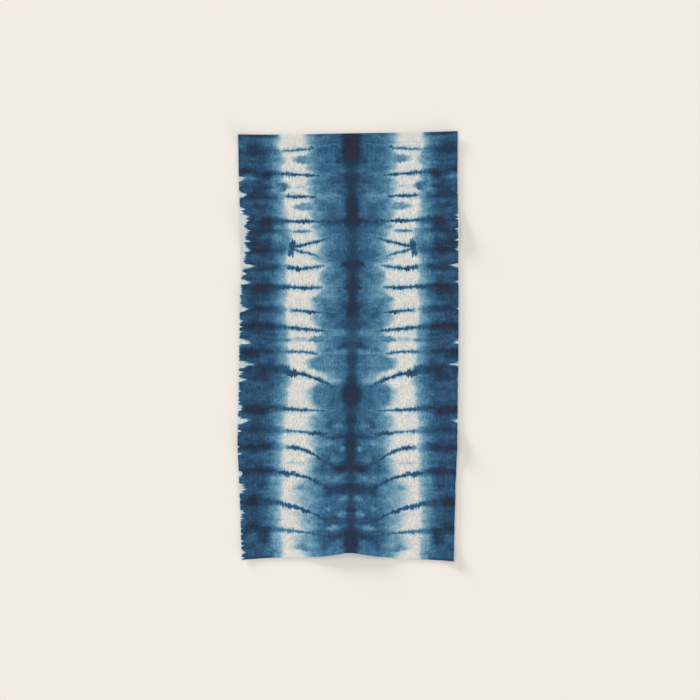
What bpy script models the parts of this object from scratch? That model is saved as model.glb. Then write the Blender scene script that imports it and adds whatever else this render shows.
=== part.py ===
"""Bath towel of cotton terry, one piece of cloth lying face up on a flat surface.

Metres, +Z up. +Y runs to the towel's top end, and the origin is on the surface under
the middle of the towel. The cloth is one sheet: it touches the surface where it is
flat, rises off it in soft folds, and curls up a little along its edges. Its ends are
turned into flat-woven hems, which are thinner than the pile.

Run it with: blender --background --python part.py
"""

import math
from collections import namedtuple

import bpy

# The cloth as cut
CLOTH_WIDTH = 0.762
CLOTH_LENGTH = 1.490
PILE_THICKNESS = 0.0034
HEM_THICKNESS = 0.0024
HEM_DEPTH = 0.036
HEM_STEP = 0.003
EDGE_ROUNDING = 0.0008

# How finely the sheet is divided
COLUMNS = 34
HEM_ROWS = 3
PILE_ROWS = 88

# How the terry looks, taken as one colour
INDIGO = (0.085, 0.205, 0.365, 1.0)
TERRY_ROUGHNESS = 0.95

# The long edges wander: a row for each place down the towel, with how far each edge
# lies to the right of its straight cut line there
SideStation = namedtuple("SideStation", "from_top left_edge right_edge")
SIDE_STATIONS = [
    SideStation(0.000, -0.0036, 0.0019),
    SideStation(0.180, -0.0012, 0.0019),
    SideStation(0.270, 0.0023, 0.0033),
    SideStation(0.410, 0.0050, 0.0036),
    SideStation(0.580, 0.0023, 0.0054),
    SideStation(0.760, -0.0005, 0.0047),
    SideStation(0.930, -0.0029, 0.0026),
    SideStation(1.080, -0.0057, 0.0008),
    SideStation(1.210, -0.0008, -0.0040),
    SideStation(1.350, 0.0041, -0.0079),
    SideStation(1.490, 0.0086, -0.0110),
]

# The short edges: a row for each place across, with how far each edge lies above its
# straight cut line there. The bottom edge is drawn up where the arch lifts it
EndStation = namedtuple("EndStation", "from_left top_edge bottom_edge")
END_STATIONS = [
    EndStation(0.000, -0.0051, -0.0013),
    EndStation(0.115, -0.0056, 0.0056),
    EndStation(0.280, -0.0035, 0.0090),
    EndStation(0.345, -0.0026, 0.0175),
    EndStation(0.390, -0.0020, 0.0238),
    EndStation(0.430, -0.0012, 0.0175),
    EndStation(0.500, 0.0002, 0.0082),
    EndStation(0.660, 0.0034, -0.0010),
    EndStation(0.762, 0.0062, -0.0066),
]

# How fast the short edges' wander dies away into the cloth
END_FADE = 0.45

# The soft folds that lift the cloth off the surface. Each is a swelling around x, y,
# which reaches half_width across the towel and half_length along it. A slanted one
# runs downhill to the right by that share of the way across
Fold = namedtuple("Fold", "x y half_width half_length height slant")
FOLDS = {
    "upper_right": Fold(0.400, 0.405, 0.290, 0.104, 0.0190, 0.04),
    "upper_left": Fold(-0.400, 0.415, 0.260, 0.100, 0.0090, -0.05),
    "middle_left": Fold(-0.400, 0.158, 0.220, 0.084, 0.0070, 0.10),
    "lower_right": Fold(0.400, -0.338, 0.280, 0.084, 0.0150, -0.04),
    "lower_left": Fold(-0.400, -0.330, 0.260, 0.080, 0.0075, 0.03),
    "hem_arch": Fold(0.009, -0.760, 0.200, 0.340, 0.0250, 0.00),
    "bottom_right_corner": Fold(0.400, -0.760, 0.100, 0.120, 0.0060, 0.00),
    "top_right_edge": Fold(0.290, 0.760, 0.190, 0.080, 0.0040, 0.00),
}

# How far each edge curls up off the surface, and how wide the curling strip is
EDGE_CURLS = {"left": 0.0055, "right": 0.0080, "top": 0.0050, "bottom": 0.0040}
CURL_REACH = 0.070


def clear_scene():
    for old in list(bpy.data.objects):
        bpy.data.objects.remove(old)


def smooth_between(stations, place_name, value_name, place):
    """The value at a place, on a smooth curve through the stations."""
    places = [getattr(row, place_name) for row in stations]
    values = [getattr(row, value_name) for row in stations]
    place = min(max(place, places[0]), places[-1])
    last = len(places) - 2
    i = min(sum(place > p for p in places[1:-1]), last)
    before, after = max(i - 1, 0), min(i + 2, last + 1)
    run = places[i + 1] - places[i]
    slope_in = (values[i + 1] - values[before]) / (places[i + 1] - places[before])
    slope_out = (values[after] - values[i]) / (places[after] - places[i])
    t = (place - places[i]) / run
    return (
        values[i] * (1 + 2 * t) * (1 - t) ** 2
        + values[i + 1] * t * t * (3 - 2 * t)
        + slope_in * run * t * (1 - t) ** 2
        + slope_out * run * t * t * (t - 1)
    )


def plan_of(from_left, from_top):
    """Where a point of the flat cloth lies, seen from above."""
    left = smooth_between(SIDE_STATIONS, "from_top", "left_edge", from_top)
    right = smooth_between(SIDE_STATIONS, "from_top", "right_edge", from_top)
    top = smooth_between(END_STATIONS, "from_left", "top_edge", from_left)
    bottom = smooth_between(END_STATIONS, "from_left", "bottom_edge", from_left)
    share = from_left / CLOTH_WIDTH
    from_bottom = CLOTH_LENGTH - from_top
    x = from_left - CLOTH_WIDTH / 2 + left * (1 - share) + right * share
    y = CLOTH_LENGTH / 2 - from_top
    y += top * math.exp(-from_top / END_FADE)
    y += bottom * math.exp(-from_bottom / END_FADE)
    return x, y


def swell(distance, reach):
    """A soft hump: 1 in the middle, and level with the surface at its reach."""
    if abs(distance) >= reach:
        return 0.0
    return (1 + math.cos(math.pi * distance / reach)) / 2


def curl_of(x, y):
    """How far the curl of the edges holds the cloth's underside off the surface."""
    inside = {
        "left": x + CLOTH_WIDTH / 2,
        "right": CLOTH_WIDTH / 2 - x,
        "top": CLOTH_LENGTH / 2 - y,
        "bottom": y + CLOTH_LENGTH / 2,
    }
    curls = (
        height * swell(max(inside[side], 0.0), CURL_REACH)
        for side, height in EDGE_CURLS.items()
    )
    return sum(curls)


def lift_of(x, y):
    """How far the folds and the curl hold the cloth's underside off the surface."""
    lift = curl_of(x, y)
    for fold in FOLDS.values():
        ridge_y = fold.y - fold.slant * (x - fold.x)
        across = swell(x - fold.x, fold.half_width)
        lift += fold.height * across * swell(y - ridge_y, fold.half_length)
    return lift


def row_places():
    """How far from the top end each row of points lies, with rows along both hems."""
    hem = [HEM_DEPTH * i / HEM_ROWS for i in range(HEM_ROWS + 1)]
    pile_start = HEM_DEPTH + HEM_STEP
    pile_run = CLOTH_LENGTH - 2 * pile_start
    pile = [pile_start + pile_run * i / PILE_ROWS for i in range(PILE_ROWS + 1)]
    far_hem = [CLOTH_LENGTH - place for place in reversed(hem)]
    return hem + pile + far_hem


def in_a_hem(from_top):
    hem_line = HEM_DEPTH + HEM_STEP / 2
    return from_top < hem_line or from_top > CLOTH_LENGTH - hem_line


def terry_material():
    material = bpy.data.materials.new("indigo_terry")
    material.use_nodes = True
    surface = material.node_tree.nodes["Principled BSDF"]
    surface.inputs["Base Color"].default_value = INDIGO
    surface.inputs["Roughness"].default_value = TERRY_ROUGHNESS
    surface.inputs["Metallic"].default_value = 0.0
    return material


def add_thickness(towel, hem_points):
    """Turns the sheet's underside into a solid cloth, thinner in the hems."""
    pile_share = towel.vertex_groups.new(name="pile_share")
    everywhere = [v.index for v in towel.data.vertices]
    pile_share.add(everywhere, 1.0, "REPLACE")
    pile_share.add(hem_points, HEM_THICKNESS / PILE_THICKNESS, "REPLACE")
    cloth = towel.modifiers.new("cloth", "SOLIDIFY")
    cloth.thickness = PILE_THICKNESS
    cloth.offset = 1.0
    cloth.use_even_offset = True
    cloth.vertex_group = pile_share.name
    rounding = towel.modifiers.new("rounded_edge", "BEVEL")
    rounding.width = EDGE_ROUNDING
    rounding.segments = 2
    rounding.limit_method = "ANGLE"
    rounding.angle_limit = math.radians(60)


def build_towel(collection):
    rows = row_places()
    bpy.ops.mesh.primitive_grid_add(
        x_subdivisions=COLUMNS, y_subdivisions=len(rows) - 1, size=1
    )
    towel = bpy.context.object
    towel.name = "towel"
    towel.data.name = "towel"
    hem_points = []
    for point in towel.data.vertices:
        from_left = (point.co.x + 0.5) * CLOTH_WIDTH
        from_top = rows[round((0.5 - point.co.y) * (len(rows) - 1))]
        x, y = plan_of(from_left, from_top)
        point.co = (x, y, lift_of(x, y))
        if in_a_hem(from_top):
            hem_points.append(point.index)
    add_thickness(towel, hem_points)
    towel.data.materials.append(terry_material())
    towel.data.shade_smooth()
    for old in list(towel.users_collection):
        old.objects.unlink(towel)
    collection.objects.link(towel)
    return towel


def main():
    clear_scene()
    collection = bpy.data.collections.new("bath_towel")
    bpy.context.scene.collection.children.link(collection)
    build_towel(collection)


main()
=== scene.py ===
# %% [markdown]
# # A bath towel with a fold-and-bind print
#
# The towel is one length of cotton terry that lies face up on a pale floor. This
# lesson dresses its plain solid as real cloth: a sheared pile face, a looped back,
# turned hems with their stitches, and a print that looks like indigo dyed on pleats.
#
# The solid comes packed, in metres, with its origin on the floor under the middle of
# the towel. We keep its box, because the cloth has to keep its place and its size.

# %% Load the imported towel
import math
from collections import namedtuple

import bmesh
import bpy
import numpy as np
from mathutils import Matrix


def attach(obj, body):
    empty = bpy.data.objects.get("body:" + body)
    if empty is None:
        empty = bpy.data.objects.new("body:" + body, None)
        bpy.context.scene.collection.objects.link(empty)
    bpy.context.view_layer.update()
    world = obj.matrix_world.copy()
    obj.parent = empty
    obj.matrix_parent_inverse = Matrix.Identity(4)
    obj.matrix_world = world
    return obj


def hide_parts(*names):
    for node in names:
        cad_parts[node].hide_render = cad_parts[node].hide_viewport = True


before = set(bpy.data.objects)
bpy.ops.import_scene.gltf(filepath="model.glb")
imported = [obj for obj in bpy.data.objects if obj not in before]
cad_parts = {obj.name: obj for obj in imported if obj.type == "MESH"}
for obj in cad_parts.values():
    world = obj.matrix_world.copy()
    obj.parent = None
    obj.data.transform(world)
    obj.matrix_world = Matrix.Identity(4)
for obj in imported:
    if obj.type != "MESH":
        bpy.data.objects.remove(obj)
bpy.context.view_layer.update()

# %% [markdown]
# ## The towel's sizes
#
# A common bath towel is cut 30 inches wide. After its ends are turned it is a little
# under twice as long. Terry has a woven ground with a pile of small loops on each
# side; here the face is sheared short, so that the print shows crisply. The end hems
# are woven flat, without pile, and the side hems are narrow.

# %% Named sizes of the cloth, in metres
CLOTH_WIDTH = 0.762
CLOTH_LENGTH = 1.490
PILE_THICKNESS = 0.0034
HEM_THICKNESS = 0.0024
HEM_DEPTH = 0.036
SIDE_HEM = 0.008
TUCK = 0.004
print(f"cloth {CLOTH_WIDTH} by {CLOTH_LENGTH} m, pile {PILE_THICKNESS * 1000} mm")

# %% [markdown]
# ## How the towel lies
#
# No towel has four straight edges. Its long edges wander by a few millimetres, and
# the bottom edge draws up where a fold lifts it. The stations below say how far each
# edge strays from its straight cut line, and a smooth curve joins them. These are the
# solid's own tables, repeated so that cloth and solid agree.
#
# The lesson's tables hold whole numbers, mostly millimetres, which are easy to compare
# and to change. `chart` turns them into metres and shares.

# %% How the edges wander
MM, TENTH_MM, PERCENT, TENTH = 1000, 10000, 100, 10


def chart(columns, units, rows):
    """A table's rows with their columns named, each number divided by its unit."""
    kind = namedtuple("Row", columns)
    return [kind(*(number / unit for number, unit in zip(row, units))) for row in rows]


SIDE_STATIONS = chart("from_top left_edge right_edge", (MM, TENTH_MM, TENTH_MM), [
    (0, -36, 19), (180, -12, 19), (270, 23, 33), (410, 50, 36), (580, 23, 54),
    (760, -5, 47), (930, -29, 26), (1080, -57, 8), (1210, -8, -40), (1350, 41, -79),
    (1490, 86, -110),
])
END_STATIONS = chart("from_left top_edge bottom_edge", (MM, TENTH_MM, TENTH_MM), [
    (0, -51, -13), (115, -56, 56), (280, -35, 90), (345, -26, 175), (390, -20, 238),
    (430, -12, 175), (500, 2, 82), (660, 34, -10), (762, 62, -66),
])
END_FADE = 0.45


def smooth_between(stations, places):
    """Each edge's values at many places, on a smooth curve through the stations."""
    at, *edges = np.array(stations).T
    places = np.clip(places, at[0], at[-1])
    i = np.clip(np.searchsorted(at, places, side="right") - 1, 0, len(at) - 2)
    run = at[i + 1] - at[i]
    t = (places - at[i]) / run
    for values in edges:
        slopes = np.gradient(values, at)
        slopes[1:-1] = (values[2:] - values[:-2]) / (at[2:] - at[:-2])
        yield (
            values[i] * (1 + 2 * t) * (1 - t) ** 2
            + values[i + 1] * t * t * (3 - 2 * t)
            + slopes[i] * run * t * (1 - t) ** 2
            + slopes[i + 1] * run * t * t * (t - 1)
        )


def plan_of(from_left, from_top):
    """Where points of the flat cloth lie, seen from above."""
    left, right = smooth_between(SIDE_STATIONS, from_top)
    top, bottom = smooth_between(END_STATIONS, from_left)
    share = from_left / CLOTH_WIDTH
    x = from_left - CLOTH_WIDTH / 2 + left * (1 - share) + right * share
    y = CLOTH_LENGTH / 2 - from_top
    y = y + top * np.exp(-np.maximum(from_top, 0) / END_FADE)
    y = y + bottom * np.exp(-np.maximum(CLOTH_LENGTH - from_top, 0) / END_FADE)
    return x, y


print("top left corner, seen from above:", np.round(plan_of(0.0, 0.0), 3))

# %% [markdown]
# The cloth touches the floor where it is flat, rises in soft cross folds, and curls up
# a little along its edges, most of all on the right. Each fold is one swelling with a
# middle, a reach across and along, and a height. A raised cosine makes the hump,
# because it leaves the floor and returns to it with no corner.

# %% The soft folds
Fold = namedtuple("Fold", "x y half_width half_length height slant")
FOLDS = {
    "upper_right": Fold(0.400, 0.405, 0.290, 0.104, 0.0190, 0.04),
    "upper_left": Fold(-0.400, 0.415, 0.260, 0.100, 0.0090, -0.05),
    "middle_left": Fold(-0.400, 0.158, 0.220, 0.084, 0.0070, 0.10),
    "lower_right": Fold(0.400, -0.338, 0.280, 0.084, 0.0150, -0.04),
    "lower_left": Fold(-0.400, -0.330, 0.260, 0.080, 0.0075, 0.03),
    "hem_arch": Fold(0.009, -0.760, 0.200, 0.340, 0.0250, 0.00),
    "bottom_right_corner": Fold(0.400, -0.760, 0.100, 0.120, 0.0060, 0.00),
    "top_right_edge": Fold(0.290, 0.760, 0.190, 0.080, 0.0040, 0.00),
}
EDGE_CURLS = {"left": 0.0055, "right": 0.0080, "top": 0.0050, "bottom": 0.0040}
CURL_REACH = 0.070


def swell(distance, reach):
    """A soft hump: 1 in the middle, and level with the floor at its reach."""
    share = np.clip(np.abs(distance) / reach, 0, 1)
    return (1 + np.cos(np.pi * share)) / 2


def lift_of(x, y):
    """How far the folds and the curl hold the cloth's underside off the floor."""
    inside = {
        "left": CLOTH_WIDTH / 2 + x,
        "right": CLOTH_WIDTH / 2 - x,
        "top": CLOTH_LENGTH / 2 - y,
        "bottom": CLOTH_LENGTH / 2 + y,
    }
    lift = 0
    for side, height in EDGE_CURLS.items():
        lift = lift + height * swell(np.maximum(inside[side], 0), CURL_REACH)
    for fold in FOLDS.values():
        ridge_y = fold.y - fold.slant * (x - fold.x)
        across = swell(x - fold.x, fold.half_width)
        lift = lift + fold.height * across * swell(y - ridge_y, fold.half_length)
    return lift


SLOPE_STEP = 0.001


def lay(from_left, from_top, above):
    """Points of the cloth as it lies, that far above its underside, square to it."""
    x, y = plan_of(from_left, from_top)
    slope_x = (lift_of(x + SLOPE_STEP, y) - lift_of(x - SLOPE_STEP, y)) / (2 * SLOPE_STEP)
    slope_y = (lift_of(x, y + SLOPE_STEP) - lift_of(x, y - SLOPE_STEP)) / (2 * SLOPE_STEP)
    up = np.stack([-slope_x, -slope_y, np.ones_like(x)], axis=-1)
    up /= np.linalg.norm(up, axis=-1, keepdims=True)
    ground = np.stack([x, y, lift_of(x, y)], axis=-1)
    return ground + up * np.asarray(above)[..., None]


print("top left corner:", np.round(lay(0.0, 0.0, PILE_THICKNESS), 3))

# %% [markdown]
# ## The camera, the floor and the light
#
# The towel is seen from straight above, as in a plain product picture. A long lens
# keeps its edges parallel. The floor is warm off-white. A soft window light low in the
# upper left gives the wide shadows at the right and bottom edges, and a weaker one from
# the lower right gives the faint shadows at the other two. A broad ceiling light and an
# even sky fill them. Each light has its height, its softness and its turn in degrees,
# and the share of light that it gives a level floor. The shares add up to one, so that
# a level surface renders in the very colour it is mixed in.

# %% Camera
VIEW_SIZE = 2.4465
VIEW_MIDDLE = (0.0058, -0.0128)
LENS = 100.0
SENSOR = 36.0


def add_object(name, data):
    """A new object in the scene."""
    made = bpy.data.objects.new(name, data)
    bpy.context.scene.collection.objects.link(made)
    return made


camera = add_object("overhead_camera", bpy.data.cameras.new("overhead_camera"))
camera.data.lens = LENS
camera.data.sensor_width = SENSOR
camera.location = (*VIEW_MIDDLE, VIEW_SIZE * LENS / SENSOR)
bpy.context.scene.camera = camera
print("camera height:", round(camera.location.z, 2), "m")

# %% Floor
FLOOR_COLOUR = (0.896, 0.840, 0.776, 1.0)
FLOOR_SIZE = 60.0
FLOOR_GAP = 0.0002


def new_material(name, settings):
    """A material with those settings, and all the inputs of its surface."""
    material = bpy.data.materials.new(name)
    material.use_nodes = True
    surface = material.node_tree.nodes["Principled BSDF"].inputs
    for label, value in settings.items():
        surface[label].default_value = value
    return material, surface


matt = {"Base Color": FLOOR_COLOUR, "Roughness": 1.0, "Specular IOR Level": 0.0}
bpy.ops.mesh.primitive_plane_add(size=FLOOR_SIZE, location=(0, 0, -FLOOR_GAP))
floor = bpy.context.object
floor.name = "floor"
floor.data.materials.append(new_material("pale_floor", matt)[0])
print("floor:", FLOOR_SIZE, "m wide")

# %% Light
Light = namedtuple("Light", "share height softness turn")
LIGHTS = {
    "window_light": Light(0.20, 15, 18, 135),
    "door_light": Light(0.09, 15, 22, -50),
    "ceiling_light": Light(0.48, 90, 90, 0),
}
SKY_SHARE = 0.23

for name, light in LIGHTS.items():
    height = math.radians(light.height)
    data = bpy.data.lights.new(name, "SUN")
    data.energy = light.share * math.pi / math.sin(height)
    data.angle = math.radians(light.softness)
    turn = math.radians(light.turn)
    add_object(name, data).rotation_euler = (0, math.pi / 2 - height, turn)
    print(f"{name}: strength {data.energy:.2f}")

sky = bpy.data.worlds.new("even_sky")
sky.use_nodes = True
sky.node_tree.nodes["Background"].inputs["Color"].default_value = (1, 1, 1, 1)
sky.node_tree.nodes["Background"].inputs["Strength"].default_value = SKY_SHARE
bpy.context.scene.world = sky
bpy.context.scene.view_settings.view_transform = "Standard"

# %% [markdown]
# ## Making cloth from a grid
#
# Every piece of cloth is a grid of points. Each point knows its place on the flat
# cloth, and `lay` says where that place ends up. The flat place is kept on the mesh as
# an attribute, so that the print and the weave follow the cloth over every fold. A UV
# map called OFBake spreads the same places over a square, ready for baking.

# %% A helper that turns a grid of points into a piece
PLACE = "cloth_place"


def make_piece(name, from_left, from_top, above, faces, bake=None):
    """A mesh object from points of the flat cloth, laid that far above its underside.
    Each face corner's place on the baking square is its place on the cloth, unless
    another one is given."""
    points = lay(from_left, from_top, above).reshape(-1, 3)
    places = np.stack([from_left, from_top, np.zeros_like(from_left)], -1).reshape(-1, 3)
    if bake is None:
        bake = places[faces][..., :2] / (CLOTH_WIDTH, CLOTH_LENGTH)
        bake[..., 1] = 1 - bake[..., 1]
    mesh = bpy.data.meshes.new(name)
    mesh.from_pydata(points, [], faces)
    place = mesh.attributes.new(PLACE, "FLOAT_VECTOR", "POINT")
    place.data.foreach_set("vector", places.astype(np.float32).ravel())
    layer = mesh.uv_layers.new(name="OFBake")
    layer.data.foreach_set("uv", bake.astype(np.float32).ravel())
    mesh.shade_smooth()
    print(f"{name}: {2 * len(faces)} triangles")
    return add_object(name, mesh)


def grid_faces(rows, columns):
    """The corners of each square of a grid, with its points counted row by row."""
    first = np.arange(rows - 1)[:, None] * columns + np.arange(columns - 1)
    square = np.stack([first, first + columns, first + columns + 1, first + 1], axis=-1)
    return square.reshape(-1, 4)


def tube_faces(rings, around):
    """The squares of a tube, from each ring of points to the next and all the way round."""
    ring = np.arange(rings - 1)[:, None] * around
    here = np.arange(around)
    after = (here + 1) % around
    corners = [ring + here, ring + after, ring + around + after, ring + around + here]
    return np.stack(corners, axis=-1).reshape(-1, 4)


NOISE_TABLE = 128


def soft_noise(x, y, seed):
    """Smooth random heights from -1 to 1, with one bump or dip to each step of 1."""
    heights = np.random.default_rng(seed).uniform(-1, 1, (NOISE_TABLE, NOISE_TABLE))
    column, row = np.floor(x).astype(int), np.floor(y).astype(int)
    blend_x, blend_y = (t * t * (3 - 2 * t) for t in (x - column, y - row))

    def height_at(i, j):
        return heights[(row + i) % NOISE_TABLE, (column + j) % NOISE_TABLE]

    def on_row(i):
        return height_at(i, 0) * (1 - blend_x) + height_at(i, 1) * blend_x

    return on_row(0) * (1 - blend_y) + on_row(1) * blend_y


print("cloth helpers ready")

# %% [markdown]
# ## The pile face
#
# The face is a sheared pile. Laundered terry never lies quite level: its loops lean
# together in small upright clumps, a few millimetres wide and twice as long. At its
# borders the pile rounds down to the flat hems. The clumps are real relief in the
# mesh, and only the single loops are left to bump.

# %% Where the pile's rows and columns lie
PILE_PITCH = 0.0034
PILE_LEFT = SIDE_HEM - TUCK / 2
PILE_TOP = HEM_DEPTH - TUCK / 2
BORDER_STEPS = np.array([0.0, 0.0010, 0.0021, 0.0033, 0.0048])
BORDER_REACH = 0.0065
CLUMP_WIDTH = 0.0075
CLUMP_LENGTH = 0.017
CLUMP_SWAY = 0.5
SWAY_WIDTH = 0.03
SWAY_LENGTH = 0.05
TUFT_WIDTH = 0.0036
TUFT_LENGTH = 0.0060
CLUMP_RELIEF = 0.00022
TUFT_RELIEF = 0.00010
PILE_FOOT = 0.0022
PILE_ROUND = 0.009


def border_places(start, end, pitch):
    """Places from start to end, evenly spaced and closer together at both borders."""
    count = round((end - start) / pitch) + 1 - len(BORDER_STEPS)
    inner = np.linspace(start + BORDER_REACH, end - BORDER_REACH, count)
    return np.concatenate([start + BORDER_STEPS, inner, end - BORDER_STEPS[::-1]])


def border_fall(from_left, from_top):
    """How far inside the pile's border each place is, in metres."""
    across = np.minimum(from_left - PILE_LEFT, CLOTH_WIDTH - PILE_LEFT - from_left)
    along = np.minimum(from_top - PILE_TOP, CLOTH_LENGTH - PILE_TOP - from_top)
    return np.minimum(across, along)


def cloth_grid(name, pitch, height_above):
    """A sheet of the cloth inside the hems. height_above gives each point's height."""
    columns = border_places(PILE_LEFT, CLOTH_WIDTH - PILE_LEFT, pitch)
    rows = border_places(PILE_TOP, CLOTH_LENGTH - PILE_TOP, pitch)
    from_left, from_top = np.meshgrid(columns, rows)
    above = height_above(from_left, from_top, border_fall(from_left, from_top))
    return make_piece(name, from_left, from_top, above, grid_faces(len(rows), len(columns)))


def face_height(from_left, from_top, inside):
    """The sheared pile's surface, with its clumps and its rounded border."""
    sway = CLUMP_SWAY * soft_noise(from_left / SWAY_WIDTH, from_top / SWAY_LENGTH, 11)
    clumps = soft_noise(from_left / CLUMP_WIDTH + sway, from_top / CLUMP_LENGTH, 12)
    tufts = soft_noise(from_left / TUFT_WIDTH, from_top / TUFT_LENGTH, 13)
    level = PILE_THICKNESS + CLUMP_RELIEF * clumps + TUFT_RELIEF * tufts
    rise = np.clip(inside / PILE_ROUND, 0, 1)
    return PILE_FOOT + (level - PILE_FOOT) * rise * rise * (3 - 2 * rise)


terry_face = cloth_grid("terry_face", PILE_PITCH, face_height)

# %% [markdown]
# ## The back
#
# The back is the same terry with its loops left whole and undyed. It lies on the
# floor, so its loops are pressed level underneath: the relief only goes upward.

# %% The looped back
BACK_PITCH = 0.0055
LOOP_PITCH = 0.0065
LOOP_RELIEF = 0.0003
BACK_FOOT = 0.0010


def back_height(from_left, from_top, inside):
    """The looped back's surface, pressed level below and turned up at its border."""
    loops = soft_noise(from_left / LOOP_PITCH, from_top / LOOP_PITCH, 21)
    level = LOOP_RELIEF * (0.5 + 0.5 * loops)
    turn = 1 - np.clip(inside / PILE_ROUND, 0, 1)
    return level + (BACK_FOOT - level) * turn ** 2


terry_back = cloth_grid("terry_back", BACK_PITCH, back_height)
terry_back.data.flip_normals()

# %% [markdown]
# ## The hems
#
# A maker turns each edge to the back and stitches it down. Seen in section, a hem is
# a flattened loop of cloth: over the top, round the outer fold, and back underneath.
# We write that section once and sweep it along each edge. Its upper side has a small
# wave: the ends are woven with fine ribs, and the side hems pucker a little between
# their stitches.

# %% The section of a hem, and how it is swept
HemKind = namedtuple("HemKind", "depth thickness pieces wave relief")
RIB_PITCH = 0.0036
STITCH_PITCH = 0.0031
HEM_SINK = 0.00006
END_KIND = HemKind(HEM_DEPTH, HEM_THICKNESS, 12, RIB_PITCH, 0.00014)
SIDE_KIND = HemKind(SIDE_HEM, HEM_THICKNESS - HEM_SINK, 4, STITCH_PITCH, 0.00016)
ROUND_STEPS = 5
FLAP_LOW = 0.0008
FLAP_HIGH = 0.0011
UPPER_SHARE = 0.6
STEPS_PER_WAVE = 4


def hem_section(depth, thickness, pieces):
    """The flattened loop: how far in from the edge each point is, and how high. It
    starts inside, under the pile, and comes back along the floor."""
    radius = thickness / 2
    inner = depth + TUCK
    top = [(inner - (inner - radius) * i / pieces, thickness) for i in range(pieces + 1)]
    turn = [math.pi * i / ROUND_STEPS for i in range(1, ROUND_STEPS)]
    edge = [(radius - radius * math.sin(a), radius + radius * math.cos(a)) for a in turn]
    bottom = [(depth - (depth - radius) * i / pieces, 0.0) for i in range(pieces, -1, -1)]
    return np.array(top + edge + bottom + [(depth, FLAP_LOW), (inner, FLAP_HIGH)])


def from_edge(edge, run, inward):
    """How far from the left and the top a place is, that far along an edge and inward."""
    if edge in ("top", "bottom"):
        return run, inward if edge == "top" else CLOTH_LENGTH - inward
    return inward if edge == "left" else CLOTH_WIDTH - inward, run


def sweep_hem(edge, along, kind):
    """Sweeps the section along one edge: left, right, top or bottom."""
    section = hem_section(kind.depth, kind.thickness, kind.pieces)
    run, inward = np.meshgrid(along, section[:, 0], indexing="ij")
    height = np.broadcast_to(section[:, 1], run.shape)
    wave = kind.relief * np.cos(2 * np.pi * run / kind.wave) - kind.relief
    height = height + np.where(height > kind.thickness * UPPER_SHARE, wave, 0.0)
    count, around = run.shape
    faces = tube_faces(count, around)
    ring, spot = np.divmod(faces, around)
    spot[:, 1:3][spot[:, 1:3] == 0] = around
    lengths = np.linalg.norm(np.diff(section, axis=0, append=section[:1]), axis=1)
    reach = np.concatenate([[0], np.cumsum(lengths)]) / lengths.sum()
    share = (along - along[0]) / (along[-1] - along[0])
    bake = np.stack([share[ring], reach[spot]], axis=-1)
    from_left, from_top = from_edge(edge, run, inward)
    hem = make_piece(f"{edge}_hem", from_left, from_top, height, faces, bake)
    close_ends(hem, around, count)
    if edge in ("top", "right"):
        hem.data.flip_normals()
    return hem


def close_ends(piece, around, count):
    """Caps both ends of a swept piece."""
    shape = bmesh.new()
    shape.from_mesh(piece.data)
    shape.verts.ensure_lookup_table()
    shape.faces.new([shape.verts[i] for i in reversed(range(around))])
    last = (count - 1) * around
    shape.faces.new([shape.verts[last + i] for i in range(around)])
    shape.to_mesh(piece.data)
    shape.free()


ribs = round(CLOTH_WIDTH / RIB_PITCH)
across = np.linspace(0, CLOTH_WIDTH, 1 + STEPS_PER_WAVE * ribs)
side_start, side_end = HEM_DEPTH - TUCK, CLOTH_LENGTH - HEM_DEPTH + TUCK
puckers = round((side_end - side_start) / STITCH_PITCH)
down = np.linspace(side_start, side_end, 1 + STEPS_PER_WAVE * puckers)
hems = [sweep_hem(edge, across, END_KIND) for edge in ("top", "bottom")]
hems += [sweep_hem(edge, down, SIDE_KIND) for edge in ("left", "right")]
print(ribs, "ribs and", puckers, "puckers")

# %% [markdown]
# A lockstitch holds each hem down, about eight stitches to the inch. Each stitch is one
# short arc of thread that leaves the cloth, lies on it and dives back in, so its ends
# are thin and sunk. All of them together are one mesh. They were dyed with the cloth,
# and take the print's colour where they lie.

# %% The hem stitches
STITCH_LENGTH = 0.0026
THREAD_WIDTH = 0.0007
THREAD_RISE = 0.00030
THREAD_TAPER = 1.15
THREAD_CROWN = 0.6
STITCH_RINGS = 4
THREAD_SIDES = 6
END_STITCHES_IN = 0.0325
SIDE_STITCHES_IN = 0.0058
CORNER_GAP = 0.004


def stitch_run(edge):
    """The points of one run of stitches: how far from the left, from the top and above
    the cloth's underside each is, by stitch, ring and side of the thread."""
    at_end = edge in ("top", "bottom")
    last = (CLOTH_WIDTH if at_end else CLOTH_LENGTH) - CORNER_GAP
    count = round((last - CORNER_GAP) / STITCH_PITCH)
    middle = np.linspace(CORNER_GAP, last, count)[:, None, None]
    reach = np.linspace(-1, 1, STITCH_RINGS)[None, :, None]
    turn = np.linspace(0, 2 * np.pi, THREAD_SIDES, endpoint=False)[None, None, :]
    radius = THREAD_WIDTH / 2 * np.sqrt(THREAD_TAPER - reach ** 2)
    run = middle + reach * STITCH_LENGTH / 2 + 0 * turn
    inward = (END_STITCHES_IN if at_end else SIDE_STITCHES_IN) + radius * np.cos(turn)
    above = HEM_THICKNESS + THREAD_RISE * (THREAD_CROWN - reach ** 2) + radius * np.sin(turn)
    inward, above = np.broadcast_to(inward, run.shape), np.broadcast_to(above, run.shape)
    return (*from_edge(edge, run, inward), above)


def thread_faces(stitches):
    """The faces of that many stitches, each a tube closed by two squares at each end."""
    near = np.array([[3, 2, 1, 0], [5, 4, 3, 0]])
    far = (STITCH_RINGS - 1) * THREAD_SIDES + near[:, ::-1]
    one = np.concatenate([tube_faces(STITCH_RINGS, THREAD_SIDES), near, far])
    size = STITCH_RINGS * THREAD_SIDES
    return (one + size * np.arange(stitches)[:, None, None]).reshape(-1, 4)


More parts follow.
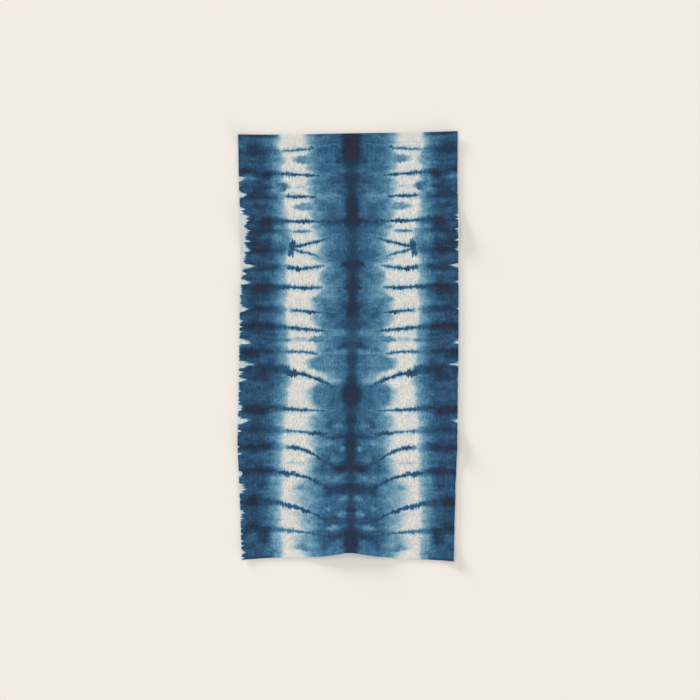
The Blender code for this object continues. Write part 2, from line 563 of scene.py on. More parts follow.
runs = [stitch_run(edge) for edge in ("top", "bottom", "left", "right")]
from_left, from_top, above = (np.concatenate([run[i] for run in runs]) for i in range(3))
faces = thread_faces(len(from_left))
hem_stitches = make_piece("hem_stitches", from_left, from_top, above, faces)
print(len(from_left), "stitches")

# %% [markdown]
# ## Wiring materials
#
# A procedural material is a graph of small nodes. This helper adds a node and feeds its
# inputs in one call. A value can be a number or another node's output, and a formula
# then reads from top to bottom.

# %% A short way to wire nodes
NODES_DOWN, NODE_WIDTH, NODE_HEIGHT = 12, 200, 160
SEED_SHIFTS = (17.3, 5.1)
NOISE_GAIN = 3.2


class Wiring:
    """Adds nodes to one tree and feeds their inputs."""

    def __init__(self, tree):
        self.tree = tree

    def feed(self, socket, value):
        if isinstance(value, bpy.types.NodeSocket):
            self.tree.links.new(value, socket)
        else:
            socket.default_value = value

    def node(self, kind, inputs=None, **settings):
        made = self.tree.nodes.new(kind)
        column, row = divmod(len(self.tree.nodes), NODES_DOWN)
        made.location = (NODE_WIDTH * column, -NODE_HEIGHT * row)
        for name, value in settings.items():
            setattr(made, name, value)
        for key, value in (inputs or {}).items():
            self.feed(made.inputs[key], value)
        return made

    def calc(self, operation, *values):
        """One sum, product or other step of arithmetic."""
        made = self.node("ShaderNodeMath", dict(enumerate(values)), operation=operation)
        return made.outputs[0]

    def vector(self, operation, *values):
        """One step of arithmetic with vectors."""
        return self.node("ShaderNodeVectorMath", dict(enumerate(values)), operation=operation)

    def minus(self, first, second):
        return self.calc("SUBTRACT", first, second)

    def larger(self, first, second):
        return self.calc("MAXIMUM", first, second)

    def times(self, first, *others):
        """The product of all the values."""
        for other in others:
            first = self.calc("MULTIPLY", first, other)
        return first

    def plus(self, total, value, share):
        """The total, and that share of the value."""
        return self.calc("MULTIPLY_ADD", value, share, total)

    def blend(self, total, *shares):
        """The total, and a share of each of the values."""
        for value, share in shares:
            total = self.plus(total, value, share)
        return total

    def ease(self, value, low, high, start=0.0, end=1.0):
        """Turns softly from start to end while the value goes from low to high."""
        inputs = {
            "Value": value, "From Min": low, "From Max": high, "To Min": start, "To Max": end
        }
        made = self.node(
            "ShaderNodeMapRange", inputs, interpolation_type="SMOOTHSTEP", clamp=False
        )
        return made.outputs["Result"]

    def spot(self, x, y):
        """One vector that holds both distances."""
        return self.node("ShaderNodeCombineXYZ", {"X": x, "Y": y}).outputs[0]

    def noise(self, across, down, width, length, seed, detail=1.0):
        """Smooth noise, about -1 to 1, with spots of that width and length."""
        x = self.plus(SEED_SHIFTS[0] * seed, across, 1 / width)
        y = self.plus(SEED_SHIFTS[1] * seed, down, 1 / length)
        inputs = {"Vector": self.spot(x, y), "Scale": 1.0, "Detail": detail}
        made = self.node("ShaderNodeTexNoise", inputs, noise_dimensions="2D")
        return self.plus(-NOISE_GAIN / 2, made.outputs[0], NOISE_GAIN)

    def channels(self, colour):
        """The red, green and blue of a colour, by name."""
        return self.node("ShaderNodeSeparateColor", {"Color": colour}).outputs

    def tinted(self, colour, shares):
        """The colour, with its red, green and blue each multiplied by their share."""
        tint = self.node("ShaderNodeCombineColor", shares).outputs[0]
        made = self.node("ShaderNodeMix", data_type="RGBA", blend_type="MULTIPLY")
        first, second = (s for s in made.inputs if s.type == "RGBA")
        self.feed(made.inputs["Factor"], 1.0)
        self.feed(first, colour)
        self.feed(second, tint)
        return next(s for s in made.outputs if s.type == "RGBA")

    def cloth_place(self):
        """How far from the left edge and from the top edge this spot of cloth is."""
        made = self.node("ShaderNodeAttribute", attribute_name=PLACE)
        parts = self.node("ShaderNodeSeparateXYZ", {"Vector": made.outputs["Vector"]})
        return parts.outputs["X"], parts.outputs["Y"]

    def place(self, group, inputs=None):
        """Puts a group in the tree and feeds its inputs by name."""
        return self.node("ShaderNodeGroup", inputs, node_tree=group).outputs


SOCKET_KINDS = dict.fromkeys(["Spot", "Middle", "Reach"], "NodeSocketVector")
SOCKET_KINDS["Colour"] = "NodeSocketColor"


def new_group(name, inputs, outputs):
    """A shader node group. Its sockets carry numbers, unless their kind is listed."""
    group = bpy.data.node_groups.new(name, "ShaderNodeTree")
    for labels, way in ((inputs, "INPUT"), (outputs, "OUTPUT")):
        for label in labels:
            kind = SOCKET_KINDS.get(label, "NodeSocketFloat")
            group.interface.new_socket(label, in_out=way, socket_type=kind)
    wiring = Wiring(group)
    entry = wiring.node("NodeGroupInput")
    leave = wiring.node("NodeGroupOutput")
    return group, wiring, entry.outputs, leave.inputs


print("wiring ready")

# %% [markdown]
# ## The print: pleats, bound and dipped
#
# This is an old way to pattern cloth with indigo. The cloth is folded in half down its
# length, pleated across like a fan, and bound between boards. The dye soaks in from
# the folded edges, so the two halves come out as mirror images. The fold in the middle
# leaves a dark spine. The boards keep a band on each side undyed, and every pleat
# lets a thin, toothed line of dye across it.
#
# We say what dyeing does: we measure how far each spot is from the spine and from the
# nearest pleat, and turn those distances into a strength of dye. A palette at the end
# turns strength into colour.
#
# Each pleat is one row of a table: where its line crosses the outer edge, the pale band
# and the spine, all from the top of the towel, then how thick and dark its line is, and
# from where to where across it shows.

# %% The chart of the pleats
SPINE_FROM_LEFT = 0.392
PLEAT_COLUMNS = "Edge Band Spine Width Ink Inner Outer"
PLEATS = chart(PLEAT_COLUMNS, (MM, MM, MM, TENTH_MM, PERCENT, MM, MM), [
    (60, 54, 40, 34, 80, 118, 246), (136, 143, 152, 42, 95, 95, 290),
    (186, 186, 184, 28, 36, 160, 195), (218, 220, 222, 44, 92, 128, 238),
    (304, 308, 308, 48, 98, 0, 300), (340, 343, 340, 36, 75, 145, 214),
    (408, 391, 356, 43, 100, 86, 225), (382, 415, 454, 39, 82, 112, 225),
    (465, 473, 456, 48, 100, 100, 235), (536, 540, 540, 50, 98, 106, 300),
    (617, 622, 632, 48, 95, 70, 214), (674, 685, 696, 48, 98, 80, 300),
    (722, 722, 722, 56, 26, 150, 215), (763, 765, 780, 40, 84, 110, 250),
    (820, 842, 890, 53, 102, 70, 290), (962, 967, 978, 44, 92, 80, 300),
    (1040, 1044, 1070, 42, 78, 40, 236), (1094, 1104, 1174, 50, 94, 20, 226),
    (1154, 1156, 1160, 28, 25, 150, 230), (1184, 1201, 1256, 58, 98, 0, 270),
    (1290, 1318, 1374, 50, 94, 20, 300), (1388, 1399, 1418, 44, 80, 0, 290),
])
print(len(PLEATS), "pleats")

# %% [markdown]
# The line itself is a group, placed once for each row. It bends softly from the outer
# edge through the band to the spine. Barbs and hairs make its width and its softness
# jump, as dye does where it creeps along single threads, and a pale halo shows how far
# the water went ahead of it. The group also gives the wide smudge of the same pleat in
# the dyed cloth, its glow, which is a thin pale line where the fold kept the dye out,
# and its gap, which is the distance to the line.

# %% The group that draws one pleat
SHARED = [
    "Across", "Down", "To Edge", "To Spine", "Thickness", "Softness", "Fading",
    "In Rim", "In Core", "In Glow",
]
pleat_inputs = [*SHARED, *PLEAT_COLUMNS.split()]
pleat_outputs = ["Line", "Halo", "Smudge", "Glow", "Gap"]
pleat_group, w, given, result = new_group("pleat_line", pleat_inputs, pleat_outputs)
across, band, ink = given["Across"], given["Band"], given["Ink"]

path = w.plus(band, w.minus(given["Edge"], band), given["To Edge"])
path = w.plus(path, w.minus(given["Spine"], band), given["To Spine"])
offset = w.minus(given["Down"], path)
gap = w.calc("ABSOLUTE", offset)
in_core = w.times(w.ease(given["Inner"], 0.12, 0.0), given["In Core"])
half = w.times(given["Width"], w.plus(1.0, in_core, 0.70), given["Thickness"])
from_line = w.times(w.minus(gap, half), given["Softness"])
past_inner = w.ease(w.minus(across, given["Inner"]), -0.030, 0.024)
before_outer = w.ease(w.minus(given["Outer"], across), -0.018, 0.018)
strength = w.times(past_inner, before_outer, given["Fading"], ink)
w.feed(result["Line"], w.times(w.ease(from_line, 0.0042, -0.0034), strength))
w.feed(result["Halo"], w.times(w.ease(from_line, 0.0120, 0.0), strength))
where = w.calc("ADD", given["In Rim"], in_core)
w.feed(result["Smudge"], w.times(w.ease(gap, 0.022, 0.0), where, ink))
glow_gap = w.calc("ABSOLUTE", w.calc("ADD", offset, 0.0045))
w.feed(result["Glow"], w.times(w.ease(glow_gap, 0.0040, 0.0), given["In Glow"], ink))
w.feed(result["Gap"], w.calc("ADD", gap, w.plus(0.02, ink, -0.02)))
print("pleat group:", len(pleat_group.nodes), "nodes")

# %% [markdown]
# Between the pleats the cloth is not even either. The first table says, down the towel,
# where the undyed band begins and ends, how strong the dye of the core is, and how
# slowly it fades out towards the band. The second gives the half width and the
# strength of the dark spine. The third says where the dye stops short of the towel's
# side and how deep the undyed teeth bite into it there.

# %% The charts of the bands, the spine and the sides
BANDS = chart("from_top inner outer core fade", (MM, MM, MM, PERCENT, TENTH), [
    (0, 155, 246, 68, 13), (56, 152, 250, 66, 9), (88, 152, 228, 65, 9),
    (120, 150, 246, 62, 9), (155, 154, 238, 64, 12), (210, 151, 240, 60, 9),
    (280, 142, 232, 62, 9), (320, 144, 224, 66, 11), (350, 130, 215, 68, 11),
    (400, 114, 212, 62, 10), (434, 138, 230, 66, 11), (462, 104, 232, 65, 10),
    (494, 112, 234, 63, 10), (560, 119, 228, 61, 11), (630, 142, 236, 66, 11),
    (695, 118, 222, 60, 10), (750, 124, 226, 60, 9), (796, 134, 220, 56, 10),
    (868, 91, 209, 57, 10), (895, 144, 219, 61, 12), (930, 147, 220, 62, 13),
    (970, 129, 230, 62, 10), (1010, 143, 231, 62, 12), (1076, 134, 235, 64, 14),
    (1130, 139, 238, 65, 11), (1190, 158, 240, 68, 14), (1246, 189, 243, 67, 24),
    (1294, 187, 250, 66, 24), (1345, 182, 248, 67, 22), (1390, 172, 252, 66, 16),
    (1436, 196, 246, 71, 23), (1490, 158, 243, 60, 12),
])
SPINES = chart("from_top half_width dye", (MM, MM, PERCENT), [
    (0, 28, 97), (90, 30, 97), (131, 18, 82), (157, 25, 92), (207, 17, 90), (248, 21, 97),
    (313, 18, 95), (338, 13, 84), (369, 12, 80), (409, 14, 84), (541, 17, 93),
    (575, 12, 90), (620, 21, 97), (655, 15, 84), (704, 11, 76), (762, 11, 76),
    (788, 16, 84), (838, 11, 84), (880, 18, 92), (918, 33, 96), (958, 18, 90),
    (985, 14, 82), (1011, 18, 91), (1038, 13, 84), (1064, 17, 92), (1180, 13, 92),
    (1214, 4, 82), (1302, 4, 84), (1365, 6, 86), (1404, 12, 92), (1452, 21, 95),
    (1490, 17, 92),
])
SIDES = chart("from_top limit teeth", (MM, MM, TENTH), [
    (0, 416, 0), (110, 410, 2), (160, 399, 7), (220, 395, 7), (270, 389, 7), (330, 376, 8),
    (440, 378, 7), (500, 386, 7), (580, 392, 7), (840, 393, 8), (1100, 396, 7),
    (1280, 396, 6), (1490, 396, 6),
])
TOOTH_PITCH = 0.019
TOOTH_DEPTH = 0.026
UNDYED_TINT = 0.07
print(len(BANDS), "band,", len(SPINES), "spine and", len(SIDES), "side stations")

# %% [markdown]
# Dye also leaves single marks, the same on both halves of the towel. Tongues ran out of
# the core into the undyed band, knots gathered in folds of the band, and pools gathered
# on the spine. Spots only make dyed cloth darker, or paler where their number is below
# zero. Teeth are where the towel's side stuck out of the binding and stayed undyed. Each
# mark has a middle, two half sizes and a strength. Teeth are pointed, the rest are ovals.
#
# The dye of the core and of the rim also grows with depth, from the edge of the band
# inward. The steps say how fast. The palette gives the colour of each strength of dye.

# %% The charts of the marks and the palette
MARKS = "across from_top half_across half_down dye", (MM, MM, MM, MM, PERCENT)
TONGUES = chart(*MARKS, [
    (148, 89, 76, 22, 45), (148, 256, 74, 19, 42), (104, 580, 48, 22, 44),
    (112, 721, 60, 16, 50), (100, 806, 72, 38, 52), (96, 916, 66, 60, 56),
    (128, 1244, 96, 28, 42), (128, 1452, 100, 24, 50), (184, 722, 30, 10, 22),
    (250, 722, 52, 14, 48), (252, 184, 48, 26, 56),
])
KNOTS = chart(*MARKS, [
    (212, 390, 16, 28, 76), (217, 417, 13, 20, 66), (192, 474, 18, 12, 82),
    (244, 828, 40, 26, 72), (206, 839, 30, 16, 76), (180, 221, 26, 7, 78),
    (170, 309, 26, 7, 80), (166, 540, 20, 8, 82), (122, 1051, 32, 10, 76),
    (192, 1102, 22, 8, 78), (206, 1194, 24, 11, 62), (160, 1325, 26, 9, 76),
    (138, 48, 16, 7, 66), (142, 625, 24, 8, 80), (134, 222, 18, 7, 72),
])
POOLS = chart(*MARKS, [
    (0, 309, 52, 14, 94), (0, 460, 78, 26, 94), (0, 541, 62, 16, 92), (0, 676, 70, 24, 80),
    (0, 918, 44, 40, 92), (0, 1071, 98, 13, 78), (100, 1055, 34, 13, 72),
    (0, 1246, 34, 24, 94), (0, 1184, 86, 23, 87), (0, 1252, 120, 34, 86),
    (0, 1332, 42, 20, 90), (78, 1362, 36, 14, 78),
])
TEETH = chart(*MARKS, [
    (398, 157, 36, 15, 80), (398, 212, 38, 18, 90), (398, 290, 51, 16, 95),
    (398, 344, 42, 22, 100), (398, 407, 59, 19, 100), (398, 463, 70, 18, 100),
    (398, 521, 47, 13, 95), (398, 613, 45, 15, 95), (398, 730, 57, 16, 100),
    (398, 808, 76, 16, 90), (398, 861, 42, 13, 90), (398, 960, 32, 18, 90),
    (398, 1004, 61, 18, 95), (398, 1190, 28, 14, 90), (398, 1242, 32, 30, 90),
    (398, 1322, 21, 25, 80), (398, 1462, 25, 18, 90),
])
SPOTS = chart(*MARKS, [
    (264, 368, 40, 62, -17), (40, 1026, 34, 18, -11), (58, 1152, 40, 16, -13),
    (96, 1158, 30, 18, 8), (34, 1345, 28, 18, -20), (92, 1376, 34, 14, 12),
    (44, 1450, 26, 18, -10), (330, 54, 56, 34, 10), (290, 148, 27, 30, 18),
    (360, 124, 67, 18, 8), (318, 194, 46, 23, 12), (318, 256, 47, 18, 12),
    (304, 318, 44, 37, 14), (312, 406, 36, 22, 16), (350, 352, 50, 50, 6),
    (316, 547, 54, 41, 16), (320, 612, 44, 16, 7), (326, 678, 70, 34, 12),
    (356, 770, 63, 30, 13), (322, 848, 67, 34, 13), (330, 968, 64, 34, 13),
    (326, 1028, 48, 23, 10), (320, 1100, 78, 18, 11), (314, 1178, 76, 20, 12),
    (346, 1288, 40, 30, 16), (346, 1365, 44, 26, 14), (307, 1411, 34, 50, 16),
    (310, 1490, 112, 14, 20), (260, 6, 220, 10, 18), (375, 32, 25, 60, -10),
    (356, 154, 40, 24, -18), (300, 1133, 60, 22, -6), (350, 1413, 24, 30, -8),
    (46, 101, 14, 12, 16), (46, 169, 16, 12, 14), (0, 155, 85, 22, 8),
    (0, 308, 120, 14, 12), (0, 464, 80, 28, 10), (0, 542, 60, 14, 10), (0, 665, 60, 34, 10),
    (0, 744, 74, 28, 20), (0, 930, 100, 50, 10), (66, 1018, 20, 22, 14),
    (0, 1065, 110, 18, 12), (0, 1185, 130, 18, 18), (0, 1261, 150, 34, 12),
    (60, 1342, 60, 34, 8), (0, 1422, 120, 16, 12), (30, 1478, 70, 22, -7),
    (70, 224, 60, 26, -10), (0, 134, 60, 6, -12), (50, 353, 70, 18, -5),
    (64, 578, 50, 30, -7), (40, 702, 46, 16, -12), (40, 768, 50, 16, -11),
    (56, 867, 40, 20, -10), (26, 1111, 20, 16, -18), (80, 1087, 30, 16, -10),
    (22, 1286, 34, 16, -19), (58, 1391, 50, 14, -19), (60, 1217, 62, 20, -13),
    (82, 1322, 32, 16, -10), (142, 1252, 36, 44, -7), (138, 1380, 30, 30, -4),
    (142, 1440, 36, 34, -8), (86, 1256, 32, 40, 8), (96, 1302, 22, 44, 8),
    (92, 1440, 30, 40, 8),
])
STEPS = "depth dye", (MM, PERCENT)
CORE_STEPS = chart(*STEPS, [
    (-16, 0), (-6, 8), (2, 26), (12, 50), (26, 74), (50, 92), (85, 102), (130, 106),
])
RIM_STEPS = chart(*STEPS, [
    (-16, 0), (-6, 8), (3, 28), (14, 43), (28, 54), (42, 65), (58, 74), (75, 78), (100, 79),
    (140, 77),
])
PALETTE = chart("dye red green blue", (PERCENT, 1, 1, 1), [
    (0, 222, 219, 212), (10, 198, 207, 208), (20, 164, 189, 199), (30, 136, 170, 186),
    (40, 108, 152, 174), (50, 82, 130, 158), (60, 59, 106, 138), (70, 47, 86, 118),
    (80, 38, 69, 98), (90, 35, 56, 80), (100, 38, 44, 62),
])
print(len(TONGUES + KNOTS + POOLS + TEETH + SPOTS), "marks,", len(PALETTE), "shades")

# %% [markdown]
# A chart becomes a colour ramp node, which holds up to 32 stops and can carry four
# curves at once, one in each colour channel and one in alpha. The palette is mixed in
# the usual 0 to 255 counts, so it is turned into light values for the ramp.

# %% Charts as ramps, marks as ovals and spikes
def ramp_node(wiring, factor, stops, interpolation="LINEAR"):
    """A colour ramp through those stops, each a position and up to four values."""
    made = wiring.node("ShaderNodeValToRGB", {"Fac": factor})
    ramp = made.color_ramp
    ramp.interpolation = interpolation
    while len(ramp.elements) < len(stops):
        ramp.elements.new(1.0)
    for element, (position, values) in zip(ramp.elements, stops):
        element.position = position
        element.color = (*values, 0.0, 0.0)[:4]
    return made.outputs


def light_value(count):
    """The light value of a colour count from 0 to 255."""
    share = count / 255
    return share / 12.92 if share <= 0.04045 else ((share + 0.055) / 1.055) ** 2.4


def down_chart(wiring, down, rows, most=1.0):
    """Reads up to four columns of a table by how far down the towel a spot is. A ramp
    holds no value above 1, so the table's values are divided by the most they reach."""
    stops = [(row.from_top / CLOTH_LENGTH, [v / most for v in row[1:]]) for row in rows]
    out = ramp_node(wiring, wiring.calc("DIVIDE", down, CLOTH_LENGTH), stops, "CARDINAL")
    parts = wiring.channels(out["Color"])
    columns = [parts["Red"], parts["Green"], parts["Blue"], out["Alpha"]][:len(rows[0]) - 1]
    return [wiring.times(column, most) for column in columns]


def depth_chart(wiring, depth, steps):
    """Reads the dye for a depth, in metres, from a table of steps."""
    low, high = steps[0].depth, steps[-1].depth
    factor = wiring.calc("DIVIDE", wiring.minus(depth, low), high - low)
    stops = [((s.depth - low) / (high - low), (s.dye,) * 3) for s in steps]
    return wiring.channels(ramp_node(wiring, factor, stops)["Color"])["Red"]


mark_inputs = ["Spot", "Middle", "Reach", "Full"]
mark_group, w, given, result = new_group("soft_mark", mark_inputs, ["Oval", "Spike"])
away = w.vector("SUBTRACT", given["Spot"], given["Middle"]).outputs["Vector"]
inside = w.vector("DIVIDE", away, given["Reach"]).outputs["Vector"]
distance = w.vector("LENGTH", inside).outputs["Value"]
w.feed(result["Oval"], w.ease(distance, 1.0, given["Full"]))
both_ways = w.vector("ABSOLUTE", inside).outputs["Vector"]
slanted = w.vector("DOT_PRODUCT", both_ways, (1.0, 1.0, 0.0)).outputs["Value"]
pointed = w.times(w.calc("ADD", distance, slanted), 0.5)
w.feed(result["Spike"], w.ease(pointed, 1.0, given["Full"]))


def place_mark(wiring, mark, spot, full, shape="Oval"):
    """A mark's dye at each spot: all of it in that full part of the oval or spike, and
    none outside."""
    inputs = {
        "Spot": spot,
        "Middle": (mark.across, mark.from_top, 0.0),
        "Reach": (mark.half_across, mark.half_down, 1.0),
        "Full": full,
    }
    return wiring.times(wiring.place(mark_group, inputs)[shape], mark.dye)


def gather(wiring, dye, marks, spot, full):
    """The dye, raised to the strength of each mark where that is more."""
    for mark in marks:
        dye = wiring.larger(dye, place_mark(wiring, mark, spot, full))
    return dye


print("undyed cloth counts as", round(light_value(PALETTE[0].red), 3))

# %% [markdown]
# Now the dyeing. Noise bends the distances first, so that every edge bleeds a little.
# Then the steps follow the order in which dye would arrive: the core and the rim with
# their tongues and spots, the spine, the pleats, and the knots and pools. The sides kept
# their teeth, and at the right and the bottom the dye thins to a pale line along the
# very edge. At last the palette turns the dye into colour. Its hue wanders a little, and
# browns in patches where the dye is deep.

# %% The group that dyes the cloth
print_group, w, given, result = new_group("indigo_print", [], ["Colour"])
left, down = w.cloth_place()
across = w.calc("ABSOLUTE", w.minus(left, SPINE_FROM_LEFT))


def noise(width, length, seed, detail=1.0):
    """Noise that mirrors at the spine, as the print does."""
    return w.noise(across, down, width, length, seed, detail)


drift = noise(0.045, 0.026, 1)
streak = noise(0.050, 0.0060, 2)
grain = noise(0.0036, 0.011, 3)
wobble = noise(0.024, 0.30, 4)
jolt = noise(0.0052, 0.06, 5)
seep = noise(0.009, 0.030, 6, 2.0)
bled = w.blend(across, (drift, 0.0040), (streak, 0.0030), (grain, 0.0014))
crept = w.blend(down, (wobble, 0.0018), (jolt, 0.0010))
seeped = w.plus(crept, seep, 0.0045)
fine_barbs = w.ease(noise(0.0060, 0.055, 7), -0.7, 0.9, 0.62, 1.42)
swellings = w.ease(noise(0.026, 0.080, 14), -0.7, 0.8, 0.70, 1.25)
hairs = w.ease(noise(0.0042, 0.030, 18), -0.6, 0.6, 0.35, 1.40)

swayed = w.plus(across, drift, 0.0020)
core_taper = w.ease(swayed, 0.09, 0.17, 0.95, 1.10)
rim_taper = w.ease(swayed, 0.18, 0.25, 1.0, 1.5)
core_blur = w.ease(swayed, 0.09, 0.17, 0.45, 1.0)
rim_blur = w.ease(swayed, 0.21, 0.26, 1.0, 0.6)
shared = {
    "Across": swayed,
    "Down": crept,
    "To Edge": w.ease(swayed, 0.16, 0.29),
    "To Spine": w.ease(swayed, 0.19, 0.03),
    "Thickness": w.times(fine_barbs, swellings, core_taper, rim_taper),
    "Softness": w.times(core_blur, rim_blur, hairs),
    "Fading": w.ease(swayed, 0.18, 0.23, 1.0, 0.92),
    "In Rim": w.ease(swayed, 0.205, 0.270),
    "In Core": w.ease(swayed, 0.16, 0.09),
    "In Glow": w.times(w.ease(swayed, 0.130, 0.100), w.ease(swayed, 0.02, 0.06)),
}
most = dict.fromkeys(["Line", "Halo", "Smudge", "Glow"], 0.0)
nearest = 1.0
for pleat in PLEATS:
    out = w.place(pleat_group, {**shared, **pleat._asdict()})
    for name, value in most.items():
        most[name] = w.larger(value, out[name])
    nearest = w.calc("MINIMUM", nearest, out["Gap"])
line, halo, smudge, glow = most.values()

inner_edge, outer_edge, core_strength, core_fade = down_chart(w, down, BANDS, most=2.5)
mid_cell = w.ease(nearest, 0.004, 0.024)
core_edge = w.plus(w.minus(inner_edge, 0.004), mid_cell, 0.011)
core_depth = w.calc("DIVIDE", w.minus(core_edge, bled), core_fade)
rim_edge = w.plus(w.minus(outer_edge, 0.006), mid_cell, 0.009)
core_dye = w.times(depth_chart(w, core_depth, CORE_STEPS), core_strength)
rim_dye = depth_chart(w, w.minus(bled, rim_edge), RIM_STEPS)
seeped_spot = w.spot(bled, seeped)
dye = gather(w, w.larger(core_dye, rim_dye), TONGUES, seeped_spot, full=0.48)

dyed = w.ease(dye, 0.08, 0.40)
rim = w.ease(across, 0.235, 0.275)
clouds = noise(0.034, 0.022, 8, 2.0)
specks = noise(0.0080, 0.0090, 9)
smears = noise(0.075, 0.012, 10, 2.0)
threads = noise(0.0065, 0.045, 11)
change = w.blend(
    w.times(clouds, 0.095),
    (specks, 0.048),
    (grain, 0.030),
    (threads, 0.030),
    (w.times(smears, rim), 0.060),
    (smudge, 0.085),
    (w.times(mid_cell, rim), -0.045),
    (w.times(glow, w.ease(clouds, -0.4, 0.5)), -0.20),
)
for mark in SPOTS:
    change = w.calc("ADD", change, place_mark(w, mark, seeped_spot, full=0.15))
dye = w.plus(dye, change, dyed)

spine_half, spine_dye = down_chart(w, down, SPINES)
spine_barbs = noise(0.016, 0.0080, 12, 2.0)
from_spine = w.minus(w.plus(bled, spine_barbs, 0.0050), spine_half)
dye = w.calc("ADD", dye, w.ease(from_spine, 0.026, 0.0, 0.0, 0.05))
more_dye = w.minus(w.plus(spine_dye, specks, 0.03), dye)
dye = w.plus(dye, more_dye, w.ease(from_spine, 0.0120, -0.0110))

dye = w.larger(dye, w.times(halo, 0.16))
dye = w.larger(dye, w.times(line, w.plus(0.79, specks, 0.06)))
dye = w.plus(dye, w.times(line, dyed), 0.05)
barbed_spot = w.spot(bled, w.plus(seeped, jolt, 0.0050))
dye = gather(w, dye, KNOTS, barbed_spot, full=0.52)
dye = gather(w, dye, POOLS, barbed_spot, full=0.38)

side_limit, side_teeth = down_chart(w, down, SIDES)
tooth_at = w.calc("DIVIDE", w.plus(down, grain, 0.0014), TOOTH_PITCH)
tooth = w.node("ShaderNodeTexVoronoi", {"W": tooth_at, "Scale": 1.0}, voronoi_dimensions="1D")
chances = w.channels(tooth.outputs["Color"])
spread = w.plus(0.20, chances["Green"], 0.22)
from_tip = w.calc("DIVIDE", tooth.outputs["Distance"], spread)
wedge = w.larger(w.minus(1.0, from_tip), 0.0)
bite = w.times(wedge, chances["Red"], w.times(side_teeth, TOOTH_DEPTH))
nibble = noise(0.060, 0.0060, 13, 1.5)
bite = w.plus(bite, w.times(nibble, side_teeth), 0.0060)
past_limit = w.calc("ADD", w.minus(bled, side_limit), bite)
kept = w.ease(past_limit, 0.0060, -0.0065)
toothed_down = w.plus(down, noise(0.030, 0.0070, 16, 1.5), 0.0040)
toothed_spot = w.spot(w.plus(bled, nibble, 0.0050), toothed_down)
for mark in TEETH:
    spared = place_mark(w, mark, toothed_spot, full=0.54, shape="Spike")
    kept = w.times(kept, w.minus(1.0, spared))
dye = w.times(dye, w.larger(kept, UNDYED_TINT))

# Along the right and the bottom edges the dye thins to a pale line.
to_right = w.minus(CLOTH_WIDTH, left)
to_bottom = w.minus(CLOTH_LENGTH, down)
to_edge = w.plus(w.calc("MINIMUM", to_right, to_bottom), drift, -0.0006)
dye = w.times(dye, w.ease(to_edge, 0.0008, 0.0030, 0.15, 1.0))

stops = [(step, [light_value(count) for count in shade]) for step, *shade in PALETTE]
colour = ramp_node(w, w.calc("MINIMUM", dye, 1.0), stops)["Color"]
hue_drift = w.noise(left, down, 0.011, 0.014, 15, 3.0)
brown_patches = w.noise(left, down, 0.026, 0.022, 17, 3.0)
browning = w.plus(w.times(hue_drift, 0.6), brown_patches, 1.3)
browning = w.times(browning, w.ease(dye, 0.35, 0.80))
tint = {
    "Red": w.blend(1.0, (hue_drift, 0.055), (browning, 0.240)),
    "Green": w.blend(1.0, (hue_drift, -0.030), (browning, -0.020)),
    "Blue": w.plus(1.0, browning, -0.120),
}
w.feed(result["Colour"], w.tinted(colour, tint))
print("print group:", len(print_group.nodes), "nodes")

# %% [markdown]
# ## The terry's grain
#
# Close up, terry is a field of loops. They lean together in tufts and the tufts in
# clumps, so light catches in three sizes. The sides of each loop lie in the shade of
# the next, and that shade is painted into the colour as well as given to the height.
# One group gives both to every cloth: a height for the bump, and a painted shade to
# multiply the colour with, darker in the dips and lighter on the loop tops.

# %% The group for the terry's grain and its painted shade
AVERAGE_HEIGHT = 0.605
grain_inputs, grain_and_painted_shade_outputs = ["Loop Size", "Contrast"], ["Height", "Shade"]
grain_and_painted_shade_group, w, given, result = new_group("terry_grain_and_painted_shade", grain_inputs, grain_and_painted_shade_outputs)
left, down = w.cloth_place()
lean = w.noise(left, down, 0.030, 0.045, 21)
leaning = w.plus(left, lean, 0.004)
clumps = w.noise(leaning, down, 0.0080, 0.0170, 22)
tufts = w.noise(leaning, down, 0.0036, 0.0062, 23)
x = w.calc("DIVIDE", leaning, given["Loop Size"])
y = w.calc("DIVIDE", down, w.times(given["Loop Size"], 1.25))
cells = {"Vector": w.spot(x, y), "Scale": 1.0, "Randomness": 0.62}
loops = w.node("ShaderNodeTexVoronoi", cells, voronoi_dimensions="2D")
loop_top = w.ease(loops.outputs["Distance"], 0.75, 0.05)
height = w.blend(0.45, (clumps, 0.14), (tufts, 0.19), (loop_top, 0.26))
w.feed(result["Height"], height)
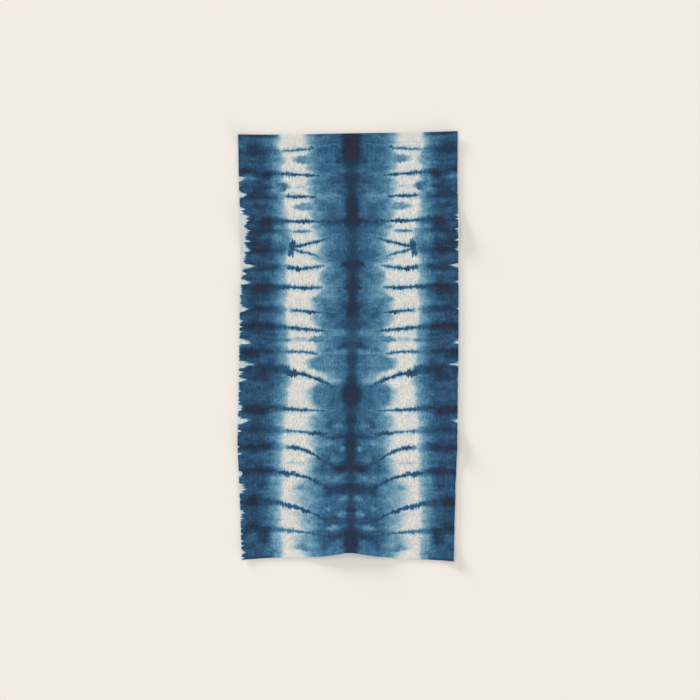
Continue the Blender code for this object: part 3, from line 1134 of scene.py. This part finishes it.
# Painted shade: the colour is lighter on high loops and darker in the dips between them.
w.feed(result["Shade"], w.plus(1.0, w.minus(height, AVERAGE_HEIGHT), given["Contrast"]))
print("grain group:", len(grain_and_painted_shade_group.nodes), "nodes")

# %% [markdown]
# ## The cottons
#
# The printed face takes its colour from the dye group, and the grain's painted shade
# darkens it between the loops. The back of the same cloth shows no print here, so it is
# left in the plain colour of washed cotton, with taller and rounder loops. The hems and
# their thread take the same print on a finer grain. Cotton has no gloss, only a faint
# sheen from its fibre ends.

# %% Cloth materials
UNDYED_COLOUR = (*(light_value(count) for count in PALETTE[0][1:]), 1.0)
# The contrast of each cotton says how deep the grain's painted shade goes.
Cotton = namedtuple("Cotton", "printed sheen loop_size contrast bump_depth")
COTTONS = {
    "printed_terry": Cotton(True, 0.03, 0.0017, 0.98, 0.0008),
    "undyed_terry": Cotton(False, 0.20, 0.0026, 0.45, 0.0011),
    "printed_weave": Cotton(True, 0.03, 0.0010, 0.60, 0.0003),
}


def cloth_material(name, cotton):
    """A dry cotton. Its grain gives the bump and paints shade into the colour."""
    dry = {"Roughness": 0.95, "Specular IOR Level": 0.15}
    sheen = {"Sheen Weight": cotton.sheen, "Sheen Roughness": 0.6}
    material, surface = new_material(name, {**dry, **sheen})
    w = Wiring(material.node_tree)
    colour = w.place(print_group)["Colour"] if cotton.printed else UNDYED_COLOUR
    sizes = {"Loop Size": cotton.loop_size, "Contrast": cotton.contrast}
    grain = w.place(grain_and_painted_shade_group, sizes)
    # The grain's painted shade multiplies the colour: darker in the dips, lighter on the
    # tops.
    shades = dict.fromkeys(("Red", "Green", "Blue"), grain["Shade"])
    w.feed(surface["Base Color"], w.tinted(colour, shades))
    relief = {"Height": grain["Height"], "Distance": cotton.bump_depth, "Strength": 1.0}
    w.feed(surface["Normal"], w.node("ShaderNodeBump", relief).outputs["Normal"])
    return material


cloths = {name: cloth_material(name, cotton) for name, cotton in COTTONS.items()}
terry_face.data.materials.append(cloths["printed_terry"])
terry_back.data.materials.append(cloths["undyed_terry"])
for piece in [*hems, hem_stitches]:
    piece.data.materials.append(cloths["printed_weave"])
print("cloths:", *cloths)

# %% [markdown]
# ## Handing the cloth to the frame

# %% Ride and replace
for piece in [terry_face, terry_back, *hems, hem_stitches]:
    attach(piece, "root")
    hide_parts("towel")
